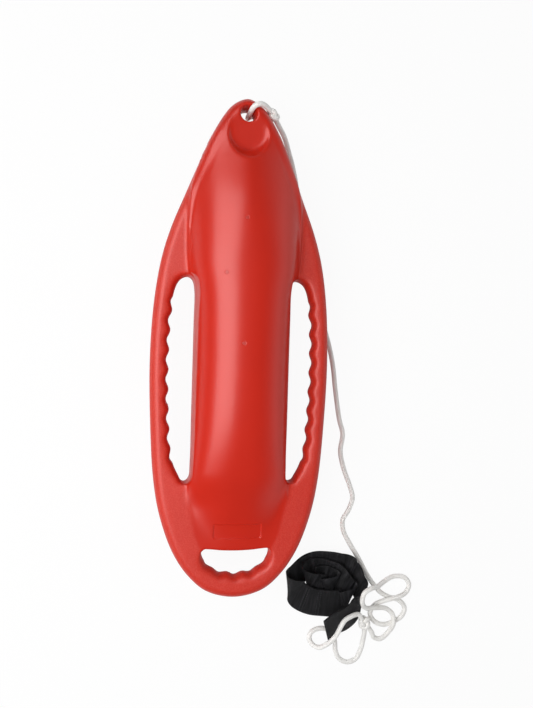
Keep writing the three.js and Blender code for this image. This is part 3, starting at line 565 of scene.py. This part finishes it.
def outward_normals(outline, sense=1):
    """Directions across a closed plan curve, out of what it surrounds, or into it where sense is -1."""
    t = unit(np.roll(outline, -1, axis=0) - np.roll(outline, 1, axis=0))
    x, y = outline.T
    area = (x * np.roll(y, -1) - np.roll(x, -1) * y).sum()
    return sense * np.sign(area) * np.column_stack([t[:, 1], -t[:, 0]])


right_side = [(across * half_width, half_length - along * body_length)
              for along, across in outline_shares]
plan = smooth_line(both_sides(right_side), step=1.0, closed=True)
plan_inward = outward_normals(plan, -1)
right_plan = plan[plan[:, 0] >= 0]
right_plan = right_plan[np.argsort(-right_plan[:, 1])]
hull_table = eased_table(hull_shares, steps=12)
hull_foot = 6
fade_shares, fade_width_share = (0.74, 0.82), 1.24
fade_square, fade_softness = 2.4, 1.6


def plan_half_width(y):
    return np.interp(half_length - y, half_length - right_plan[:, 1], right_plan[:, 0])


def rounded_edge(depth, radius):
    """A quarter round over the given depth, from 0 at the edge to 1."""
    return np.sqrt(1 - (1 - np.clip(depth / radius, 0, 1)) ** 2)


def nearest(points, outline, batch_size=4000):
    """For each point, the index of the outline's nearest point."""
    size = (outline ** 2).sum(axis=1)
    batches = (points[i:i + batch_size] for i in range(0, len(points), batch_size))
    return np.concatenate([(size - 2 * batch @ outline.T).argmin(axis=1) for batch in batches])


def body_square(p):
    """The square of half the float's thickness over its plan, before any cut. It is negative outside."""
    at = nearest(p, plan)
    depth = ((p - plan[at]) * plan_inward[at]).sum(axis=1)
    x, y = p.T
    share = (half_length - y) / body_length
    wide, high, square = (np.interp(share, hull_table[:, 0], hull_table[:, k]) for k in (1, 2, 3))
    room = np.maximum(plan_half_width(y), rim_round)
    wide = ((wide * half_width) ** -plan_blend + room ** -plan_blend) ** (-1 / plan_blend)
    crown = np.clip(1 - np.minimum(np.abs(x) / wide, 1) ** square, 0, 1) ** (1 / square)
    fade = smooth_share(*fade_shares, share)
    soft_across = np.abs(x) / wide / fade_width_share
    crown += fade * (np.clip(1 - soft_across ** fade_square, 0, 1) ** fade_softness - crown)
    hump = half_hull * high * crown * rounded_edge(depth, nose_round)
    foot = np.clip(1 - (np.abs(x) - wide) / hull_foot, 0, 1)
    foot_height = np.clip((half_hull * high - half_rim) / 2, 0, hull_foot) * (1 - fade)
    rim = half_rim * rounded_edge(depth, rim_round) + foot_height * (1 - np.sqrt(1 - foot ** 2))
    inside = (rim ** rise_blend + hump ** rise_blend) ** (2 / rise_blend)
    return np.where(depth > 0, inside, 2 * half_rim ** 2 / rim_round * depth)


# The grips, the eye and the flat behind it are limits on that thickness
bar_width = 24.5
slot_front, slot_rear = 257, 546
slot_front_across, slot_rear_across, slot_hull_across = 80, 74.5, 67.6
slot_flare, slot_hull_flare_share = 12, 0.08
first_ridge, ridge_pitch, ridge_count, ridge_height = 305, 27.7, 8, 2
tail_front, tail_rear, tail_half = 640.5, 678.5, 48.5
tail_flare, tail_deck_flare_share, tail_pitch, tail_grooves, groove_depth = 13, 0.3, 22, 3, 1.8
tail_hole_shares = [
    (0, 0.08), (0.42, 0.06), (0.78, 0.01), (0.93, 0.01), (1, 0.13), (0.975, 0.32), (0.85, 0.59),
    (0.7, 0.785), (0.49, 0.885), (0.25, 0.975), (0, 1),
]
grip_rise = half_rim + 1.5
slot_wall, tail_wall, eye_wall = 7, 5, 9
eye_along, eye_bore, eye_round = 24.5, 20, 4
land_half, land_radius, land_along = 21, 27, 51
eye_rise = land_half + 0.6
scoop_slope, scoop_crease = 1.35, 2.8
scoop_fillet, slot_fillet, tail_fillet, eye_fillet = 2.4, 3.2, 2.2, 1.4


def slot_outline():
    """The right grip's hole at mid-thickness: a smooth hull side, and a bar side that follows the rim."""
    straight_front = slot_front + 2.2 * bar_width
    straight_rear = slot_rear - 1.8 * bar_width
    round_by = slot_front_across - slot_hull_across

    def bar(along, extra=0.0):
        growth = 0.08 * smooth_share(straight_rear - 2 * bar_width, slot_rear, along)
        return plan_half_width(half_length - along) - bar_width * (1 + growth + extra), along

    points = [(slot_front_across, slot_front),
              (slot_front_across + 0.72 * round_by, slot_front + 0.38 * round_by),
              bar(slot_front + 1.35 * round_by, 0.1)]
    points += [bar(straight_front + (straight_rear - straight_front) * i / 9) for i in range(10)]
    points += [bar(slot_rear - 1.9 * round_by, 0.15),
               (slot_rear_across + 0.78 * round_by, slot_rear - 0.72 * round_by),
               (slot_rear_across + 0.42 * round_by, slot_rear - 0.12 * round_by),
               (slot_rear_across - 0.05 * round_by, slot_rear),
               (slot_rear_across - 0.42 * round_by, slot_rear - 0.35 * round_by)]
    points += [(slot_hull_across, slot_rear + (slot_front - slot_rear) * f)
               for f in (0.1, 0.3, 0.55, 0.8, 0.93)]
    points += [(slot_hull_across + 0.2 * round_by, slot_front + 0.5 * round_by),
               (slot_hull_across + 0.52 * round_by, slot_front + 0.1 * round_by)]
    return smooth_line([(x, half_length - along) for x, along in points], step=0.6, closed=True)


def hole_square(p, outline, outwards, waves, flares, wall):
    """The square of half the thickness that a hole leaves: round beside it, then a steep wall above."""
    at = nearest(p, outline)
    away = ((p - outline[at]) * outwards[at]).sum(axis=1)
    wave, flare = waves[at], flares[at]
    spread = np.clip((away - wave) / (flare - 0.75 * wave), -1.5, None)
    rounded = np.where(spread < 1, 2 * spread - spread ** 2, 1) * grip_rise ** 2
    beyond = np.maximum(away - flare - 0.25 * wave, 0)
    return np.where(spread < 1, rounded, (grip_rise + wall * beyond) ** 2)


def smaller(a, b, fillet):
    """The smaller of two squared thicknesses, with a fillet where they meet. The fillet is a height."""
    reach = 2 * fillet * np.sqrt(np.clip(np.minimum(a, b), 1, None))
    return np.minimum(a, b) - np.clip(reach - np.abs(a - b), 0, None) ** 2 / (4 * reach)


slot_plan = slot_outline()
slot_along = half_length - slot_plan[:, 1]
ridge_start = first_ridge - ridge_pitch / 2
ridge_end = ridge_start + ridge_count * ridge_pitch
ridged = (smooth_share(ridge_start - ridge_pitch / 3, ridge_start, slot_along)
          * (1 - smooth_share(ridge_end, ridge_end + ridge_pitch / 3, slot_along)))
slot_waves = (-ridge_height * (slot_plan[:, 0] > slot_front_across) * ridged
              * np.cos(2 * np.pi * (slot_along - first_ridge) / ridge_pitch))
slot_barness = smooth_share(slot_hull_across, slot_front_across + bar_width / 2, slot_plan[:, 0])
slot_flares = slot_flare * (slot_hull_flare_share + (1 - slot_hull_flare_share) * slot_barness)
slot_hole = slot_plan, outward_normals(slot_plan), slot_waves, slot_flares, slot_wall
tail_right = [(across * tail_half, half_length - tail_front - along * (tail_rear - tail_front))
              for across, along in tail_hole_shares]
tail_plan = smooth_line(both_sides(tail_right), step=0.6, closed=True)
tail_along = half_length - tail_plan[:, 1]
tail_reach = (tail_grooves / 2 + 0.25) * tail_pitch
tail_waves = (groove_depth * (tail_along > (tail_front + tail_rear) / 2)
              * (1 - smooth_share(tail_reach, tail_reach + tail_pitch / 3, np.abs(tail_plan[:, 0])))
              * np.cos(2 * np.pi * tail_plan[:, 0] / tail_pitch))
tail_flares = tail_flare * (tail_deck_flare_share + (1 - tail_deck_flare_share) * smooth_share(
    tail_front, (tail_front + tail_rear) / 2, tail_along))
tail_hole = tail_plan, outward_normals(tail_plan), tail_waves, tail_flares, tail_wall


def float_square(p):
    """The square of half the float's thickness over its plan, with every hole."""
    x, y = p.T
    slot = hole_square(np.column_stack([np.abs(x), y]), *slot_hole)
    tail = hole_square(p, *tail_hole)
    eye = (np.hypot(x, y - half_length + eye_along) - eye_bore / 2) / eye_round
    eye_lip = np.clip(eye, -1, 1)
    eye_limit = np.where(eye < 1, (2 * eye_lip - eye_lip ** 2) * eye_rise ** 2,
                         (eye_rise + eye_wall * (eye - 1)) ** 2)
    behind = np.clip(half_length - land_along - y, 0, None)
    from_land = np.hypot(x, behind) - land_radius
    scoop = land_half + scoop_slope * (np.hypot(from_land, scoop_crease) + from_land) / 2
    left = smaller(body_square(p), scoop ** 2, scoop_fillet)
    left = smaller(left, slot, slot_fillet)
    left = smaller(left, tail, tail_fillet)
    return smaller(left, eye_limit, eye_fillet)


def seated(points, times):
    """Points moved to where the float's surface is, along the field's slope, a little at a time."""
    tiny, longest_move = 0.25, 1.2
    for _ in range(times):
        here = float_square(points[:, :2])
        slope_x = (float_square(points[:, :2] + (tiny, 0)) - here) / tiny
        slope_y = (float_square(points[:, :2] + (0, tiny)) - here) / tiny
        slope = np.column_stack([-slope_x, -slope_y, 2 * points[:, 2]])
        off = points[:, 2] ** 2 - here
        move = -off[:, None] * slope / (slope ** 2).sum(axis=1, keepdims=True)
        length = np.linalg.norm(move, axis=1, keepdims=True)
        points = points + move * np.minimum(1, longest_move / np.maximum(length, 1e-9))
    return points


def net_over(field, low, step):
    """A closed net of quads where a field on a grid passes from below 0 to above it."""
    below = field < 0
    cells = tuple(size - 1 for size in field.shape)
    total = np.zeros((*cells, 3))
    count = np.zeros(cells)
    index = np.indices(field.shape).astype(float)
    crossings = []
    for axis in range(3):
        ahead = tuple(slice(1 if k == axis else None, None) for k in range(3))
        behind = tuple(slice(None, -1 if k == axis else None) for k in range(3))
        crosses = below[ahead] != below[behind]
        share = np.where(crosses, field[behind] / np.where(crosses, field[behind] - field[ahead], 1), 0)
        place = np.stack([index[k][behind] for k in range(3)], axis=-1)
        place[..., axis] += share
        place[~crosses] = 0
        first, second = (k for k in range(3) if k != axis)
        for a, b in ((0, 0), (0, 1), (1, 0), (1, 1)):
            pick = [slice(None)] * 3
            pick[first] = slice(a, a + cells[first])
            pick[second] = slice(b, b + cells[second])
            total += place[tuple(pick)]
            count += crosses[tuple(pick)]
        crossings.append((axis, first, second, crosses, below[behind]))
    used = count > 0
    number = np.full(cells, -1)
    number[used] = np.arange(used.sum())
    points = low + step * total[used] / count[used][:, None]
    faces = []
    for axis, first, second, crosses, starts_below in crossings:
        at = np.argwhere(crosses)
        inner = (at[:, first] > 0) & (at[:, second] > 0)
        inner &= (at[:, first] < cells[first]) & (at[:, second] < cells[second])
        at = at[inner]
        corners = []
        for a, b in ((1, 1), (0, 1), (0, 0), (1, 0)):
            cell = at.copy()
            cell[:, first] -= a
            cell[:, second] -= b
            corners.append(number[tuple(cell.T)])
        quads = np.column_stack(corners)
        flip = starts_below[tuple(at.T)] == (axis == 1)
        quads[flip] = quads[flip][:, ::-1]
        faces.append(quads)
    return points, np.vstack(faces)


net_step = 2.45
net_margin = np.array((2.2, 2.2, 2.5)) * net_step
low = -np.array([half_width, half_length, half_hull]) - net_margin
xs, ys, zs = (np.arange(a, net_step - a, net_step) for a in low)
grid = np.stack(np.meshgrid(xs, ys, indexing="ij"), axis=-1)
squares = float_square(grid.reshape(-1, 2)).reshape(grid.shape[:2])
points, quads = net_over(zs[None, None] ** 2 - squares[..., None], low, net_step)
for _ in range(2):
    pull = np.zeros_like(points)
    tally = np.zeros(len(points))
    for neighbours in (np.roll(quads, 1, axis=1), np.roll(quads, -1, axis=1)):
        np.add.at(pull, quads, points[neighbours])
        np.add.at(tally, quads, 1)
    points = (points + pull / tally[:, None]) / 2
points = seated(points, times=6)

# The sunk label place, left bare, and the dimples round the three vent plugs get a finer net
label_net, dimple_net = 3.4, 3
label_along, label_long, label_high = 613.5, 68, 21.5
label_corner, label_depth, label_lip = 2.4, 1.5, 0.5
plug_places = [(-5, 180), (-31, 255), (-6, 349)]
dimple_radius, dimple_lip, dimple_depth = 2.7, 0.3, 0.5
label_y = half_length - label_along
slope_points = np.array([(0, label_y + label_high / 2), (0, label_y - label_high / 2)])
label_rise, label_fall = np.sqrt(float_square(slope_points))
label_tilt = math.atan2(label_rise - label_fall, label_high)


def label_distance(p):
    """Distance from the label place's rounded edge, negative inside it."""
    q = np.abs(np.column_stack([p[:, 0], (p[:, 1] - label_y) / math.cos(label_tilt)]))
    q = q - (label_long / 2 - label_corner, label_high / 2 - label_corner)
    return np.linalg.norm(np.maximum(q, 0), axis=1) + np.minimum(q.max(axis=1), 0) - label_corner


def plug_distance(p):
    away = [np.hypot(p[:, 0] - across, p[:, 1] - half_length + along) for across, along in plug_places]
    return np.min(away, axis=0) - dimple_radius


shell = bmesh.new()
shell_points = [shell.verts.new(p) for p in points.tolist()]
shell.verts.index_update()
for quad in quads.tolist():
    shell.faces.new([shell_points[i] for i in quad])
centres = points[quads].mean(axis=1)
near_detail = (np.abs(label_distance(centres)) < label_net) | (plug_distance(centres) < dimple_net)
fine = (centres[:, 2] > 0) & near_detail
shell.faces.ensure_lookup_table()
edges = dict.fromkeys(edge for i in np.flatnonzero(fine) for edge in shell.faces[i].edges)
bmesh.ops.subdivide_edges(shell, edges=list(edges), cuts=3, use_grid_fill=True)
points = np.array([v.co for v in shell.verts])
points[len(shell_points):] = seated(points[len(shell_points):], times=3)
upper = points[:, 2] > 0
outside_label = smooth_share(-label_lip, label_lip, label_distance(points))
outside_dimple = smooth_share(-dimple_lip, dimple_lip, plug_distance(points))
sunk = label_depth / math.cos(label_tilt) * (1 - outside_label) + dimple_depth * (1 - outside_dimple)
points[:, 2] = np.maximum(points[:, 2] - upper * sunk, -mid_height) + mid_height
faces = [[v.index for v in face.verts] for face in shell.faces]
shell.free()

# The hull's inner wall lies just outside its foam fill
wall_clearance = 0.3
core = bmesh.new()
core.from_mesh(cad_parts["foam_core"].data)
bmesh.ops.remove_doubles(core, verts=core.verts, dist=mm * 0.01)
core.normal_update()
inner = np.array([v.co / mm + v.normal * wall_clearance for v in core.verts])
faces += [[len(points) + v.index for v in reversed(face.verts)] for face in core.faces]
points = np.vstack([points, inner])
core.free()

# Rotomoulded polyethylene, coloured right through. The hull came off a polished mould and is
# satin; rim and grips came off a blasted one, so they are duller and finely pebbled.
grain_edge = np.array([(0, 150), (120, 86), (170, 80), (257, 79.5), (546, 75), (571, 70), (619, 60),
                       (642, 49), (652, 26), (658, 0), (712, -20)])
grain_feather = 4
float_material, tree = empty_material("rotomoulded_polyethylene")
place = add_node(tree, "TexCoord").outputs["Object"]
grain = add_node(tree, "Attribute", attribute_name="grain").outputs["Fac"]
pebble = add_node(tree, "TexNoise", {
    "Vector": place, "Scale": 1 / 0.0017, "Detail": 2.5, "Roughness": 0.6})
orange_peel = add_node(tree, "TexNoise", {"Vector": place, "Scale": 1 / 0.014, "Detail": 1})
mottle = add_node(tree, "TexNoise", {"Vector": place, "Scale": 1 / 0.06, "Detail": 3})
scuff = add_node(tree, "TexNoise", {
    "Vector": place, "Scale": 1 / 0.009, "Detail": 6, "Roughness": 0.75})
axes = add_node(tree, "SeparateXYZ", {"Vector": place})
mottle_share = add_node(tree, "MapRange", {
    "Value": mottle, "From Min": 0.3, "From Max": 0.7, "To Max": 0.5})
body_red = add_node(tree, "Mix", {
    0: mottle_share, 6: linear("#CC2410"), 7: linear("#C42210")}, data_type="RGBA")
# Painted highlight: the pebble noise that raises the bumps also paints their tops a lighter red
pebble_highlight_share = add_node(tree, "MapRange", {
    "Value": pebble, "From Min": 0.4, "From Max": 0.7, "To Max": 0.6})
painted_pebble_highlight = add_node(tree, "Math", {0: pebble_highlight_share, 1: grain}, operation="MULTIPLY")
red_with_painted_pebble_highlight = add_node(tree, "Mix", {0: painted_pebble_highlight, 6: body_red, 7: linear("#D64230")}, data_type="RGBA")
scuff_spots = add_node(tree, "MapRange", {
    "Value": scuff, "From Min": 0.62, "From Max": 0.8, "To Max": 0.35})
lower_face = add_node(tree, "MapRange", {
    "Value": axes.outputs["Z"], "From Min": 0.05, "From Max": 0.0, "To Min": 0.12, "To Max": 1.0})
scuff_share = add_node(tree, "Math", {0: scuff_spots, 1: lower_face}, operation="MULTIPLY")
scuffed = add_node(tree, "Mix", {0: scuff_share, 6: red_with_painted_pebble_highlight, 7: linear("#D9695A")}, data_type="RGBA")
satin = add_node(tree, "MapRange", {"Value": grain, "To Min": 0.29, "To Max": 0.46})
rough = add_node(tree, "Math", {0: satin, 1: scuff_share}, operation="ADD")
pebble_height = add_node(tree, "Math", {0: pebble, 1: grain}, operation="MULTIPLY")
pebble_bump = add_node(tree, "Bump", {"Height": pebble_height, "Strength": 0.7, "Distance": 0.0004})
peel_bump = add_node(tree, "Bump", {
    "Height": orange_peel, "Strength": 0.12, "Distance": 0.0006, "Normal": pebble_bump})
# The mould's two halves met at mid-thickness and left a fine raised line round the rim
from_seam = add_node(tree, "Math", {0: axes.outputs["Z"], 1: mm * mid_height}, operation="SUBTRACT")
seam_gap = add_node(tree, "Math", {0: from_seam}, operation="ABSOLUTE")
seam = add_node(tree, "MapRange", {
    "Value": seam_gap, "From Min": 0.0005, "From Max": 0.0011, "To Min": 1.0, "To Max": 0.0},
    interpolation_type="SMOOTHSTEP")
seam_bump = add_node(tree, "Bump", {
    "Height": seam, "Strength": 0.6, "Distance": 0.0004, "Normal": peel_bump})
shader = add_node(tree, "BsdfPrincipled", {
    "Base Color": scuffed, "Roughness": rough, "IOR": 1.51,
    "Specular IOR Level": 0.38, "Normal": seam_bump})
add_node(tree, "OutputMaterial", {"Surface": shader})

float_shell = mesh_object("moulded_shell", points, faces, float_material)
edge_across = np.interp(half_length - points[:, 1], *grain_edge.T)
past_edge = np.abs(points[:, 0]) - edge_across
point_values(float_shell, "grain", smooth_share(-grain_feather, grain_feather, past_edge))
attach(float_shell, "float")
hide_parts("float_shell")

# Vent plugs. Three push-in plugs of the same polyethylene, turned a shade darker by their own
# batch, that seal the holes through which the foam was poured and the mould was vented.
plug_material, tree = empty_material("injection_moulded_polyethylene")
place = add_node(tree, "TexCoord").outputs["Object"]
gate_marks = add_node(tree, "TexNoise", {"Vector": place, "Scale": 1 / 0.002, "Detail": 2})
plug_red = add_node(tree, "Mix", {
    0: gate_marks, 6: linear("#B41C10"), 7: linear("#C42A1C")}, data_type="RGBA")
bump = add_node(tree, "Bump", {"Height": gate_marks, "Strength": 0.3, "Distance": 0.0002})
shader = add_node(tree, "BsdfPrincipled", {
    "Base Color": plug_red, "Roughness": 0.4, "IOR": 1.51, "Normal": bump})
add_node(tree, "OutputMaterial", {"Surface": shader})


def dress(node, material):
    """Gives a CAD node its material."""
    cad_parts[node].data.materials.clear()
    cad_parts[node].data.materials.append(material)


for node in ("vent_plug_front", "vent_plug_middle", "vent_plug_rear"):
    dress(node, plug_material)

# Foam fill. Closed-cell polyurethane foam that was poured into the hull and rose to fill it. It
# is pale straw, with fine cells; its larger voids are only painted shade, a darker straw in broad
# patches.
foam_material, tree = empty_material("closed_cell_polyurethane_foam")
place = add_node(tree, "TexCoord").outputs["Object"]
cells = add_node(tree, "TexVoronoi", {"Vector": place, "Scale": 1 / 0.0012})
void_shade_noise = add_node(tree, "TexNoise", {"Vector": place, "Scale": 1 / 0.012, "Detail": 4})
# Painted shade: where the noise is low, a darker straw stands for voids, which have no relief
straw_with_painted_void_shade = add_node(tree, "Mix", {0: void_shade_noise, 6: linear("#D9C48E"), 7: linear("#EDE0B8")}, data_type="RGBA")
bump = add_node(tree, "Bump", {"Height": cells, "Strength": 0.8, "Distance": 0.0005})
shader = add_node(tree, "BsdfPrincipled", {
    "Base Color": straw_with_painted_void_shade, "Roughness": 0.9, "IOR": 1.5, "Normal": bump})
add_node(tree, "OutputMaterial", {"Surface": shader})
dress("foam_core", foam_material)

# Studio. A white paper floor in a white room. The soft box high on the left lights the colours, the
# long reflector beyond it shows only as the streak on the hull, and a faint fill stands on the right.
paper, tree = empty_material("white_paper_floor")
path = add_node(tree, "LightPath")
seen_clear = add_node(tree, "Math", {
    0: path.outputs["Is Camera Ray"], 1: path.outputs["Is Transmission Ray"]}, operation="MAXIMUM")
clear_share = add_node(tree, "Math", {0: seen_clear, 1: 0.93}, operation="MULTIPLY")
gloss_share = add_node(tree, "Math", {0: path.outputs["Is Glossy Ray"], 1: 0.15}, operation="MULTIPLY")
glow_share = add_node(tree, "Math", {0: clear_share, 1: gloss_share}, operation="MAXIMUM")
matt = add_node(tree, "BsdfDiffuse", {"Color": linear("#F4F4F4")})
glow = add_node(tree, "Emission", {"Color": linear("#FFFFFF"), "Strength": 1.0})
both = add_node(tree, "MixShader", {0: glow_share, 1: matt, 2: glow})
add_node(tree, "OutputMaterial", {"Surface": both})
floor_reach = 6000
floor_drop = 0.4
corners = [(x * floor_reach, y * floor_reach, -floor_drop)
           for x, y in ((-1, -1), (1, -1), (1, 1), (-1, 1))]
floor = mesh_object("paper_floor", corners, [(0, 1, 2, 3)], paper)

room = bpy.data.worlds.new("white_room")
room.use_nodes = True
scene.world = room
tree = room.node_tree
tree.nodes.clear()
path = add_node(tree, "LightPath")
seen = add_node(tree, "Math", {
    0: path.outputs["Is Camera Ray"], 1: path.outputs["Is Glossy Ray"]}, operation="MAXIMUM")
seen_through = add_node(tree, "Math", {
    0: seen, 1: path.outputs["Is Transmission Ray"]}, operation="MAXIMUM")
# What is glossy sees the room white low on the right, and dark overhead and on the left
towards = add_node(tree, "TexCoord").outputs["Generated"]
low_right = add_node(tree, "VectorMath", {0: towards, 1: (0.8, 0, -0.6)}, operation="DOT_PRODUCT")
wall = add_node(tree, "MapRange", {
    "Value": low_right, "From Min": -0.1, "From Max": 0.7, "To Min": 0.05, "To Max": 1.0},
    interpolation_type="SMOOTHSTEP")
seen_level = add_node(tree, "Mix", {
    0: path.outputs["Is Glossy Ray"], 2: 1.0, 3: wall}, data_type="FLOAT")
dim = add_node(tree, "Background", {"Color": linear("#FFFFFF"), "Strength": 0.44})
bright = add_node(tree, "Background", {"Color": linear("#FFFFFF"), "Strength": seen_level})
both = add_node(tree, "MixShader", {0: seen_through, 1: dim, 2: bright})
add_node(tree, "OutputWorld", {"Surface": both})


def soft_box(name, place, aim, size, power, lights_matt=True, lights_gloss=True):
    """A rectangular lamp of a size and power in watts, at a place and facing another."""
    lamp = bpy.data.lights.new(name, "AREA")
    lamp.shape = "RECTANGLE"
    lamp.size, lamp.size_y = (mm * s for s in size)
    lamp.energy = power
    holder = bpy.data.objects.new(name, lamp)
    away = np.array(place, float) - np.array(aim, float)
    z = unit(away)
    x = unit(np.cross((0, 1, 0), z))
    turn = Matrix(np.column_stack([x, np.cross(z, x), z]).tolist()).to_4x4()
    holder.matrix_world = Matrix.Translation([mm * c for c in place]) @ turn
    holder.visible_diffuse = lights_matt
    holder.visible_glossy = lights_gloss
    scene.collection.objects.link(holder)


soft_box("key_soft_box", (-630, -120, 980), (0, -40, 80), (900, 1400), 10.6, lights_gloss=False)
soft_box("long_reflector", (-1020, 440, 1560), (0, 240, 80), (1650, 2920), 76, lights_matt=False)
soft_box("side_fill", (1500, 200, 500), (0, 0, 60), (700, 1800), 0.8)

scene.view_settings.view_transform = "Standard"
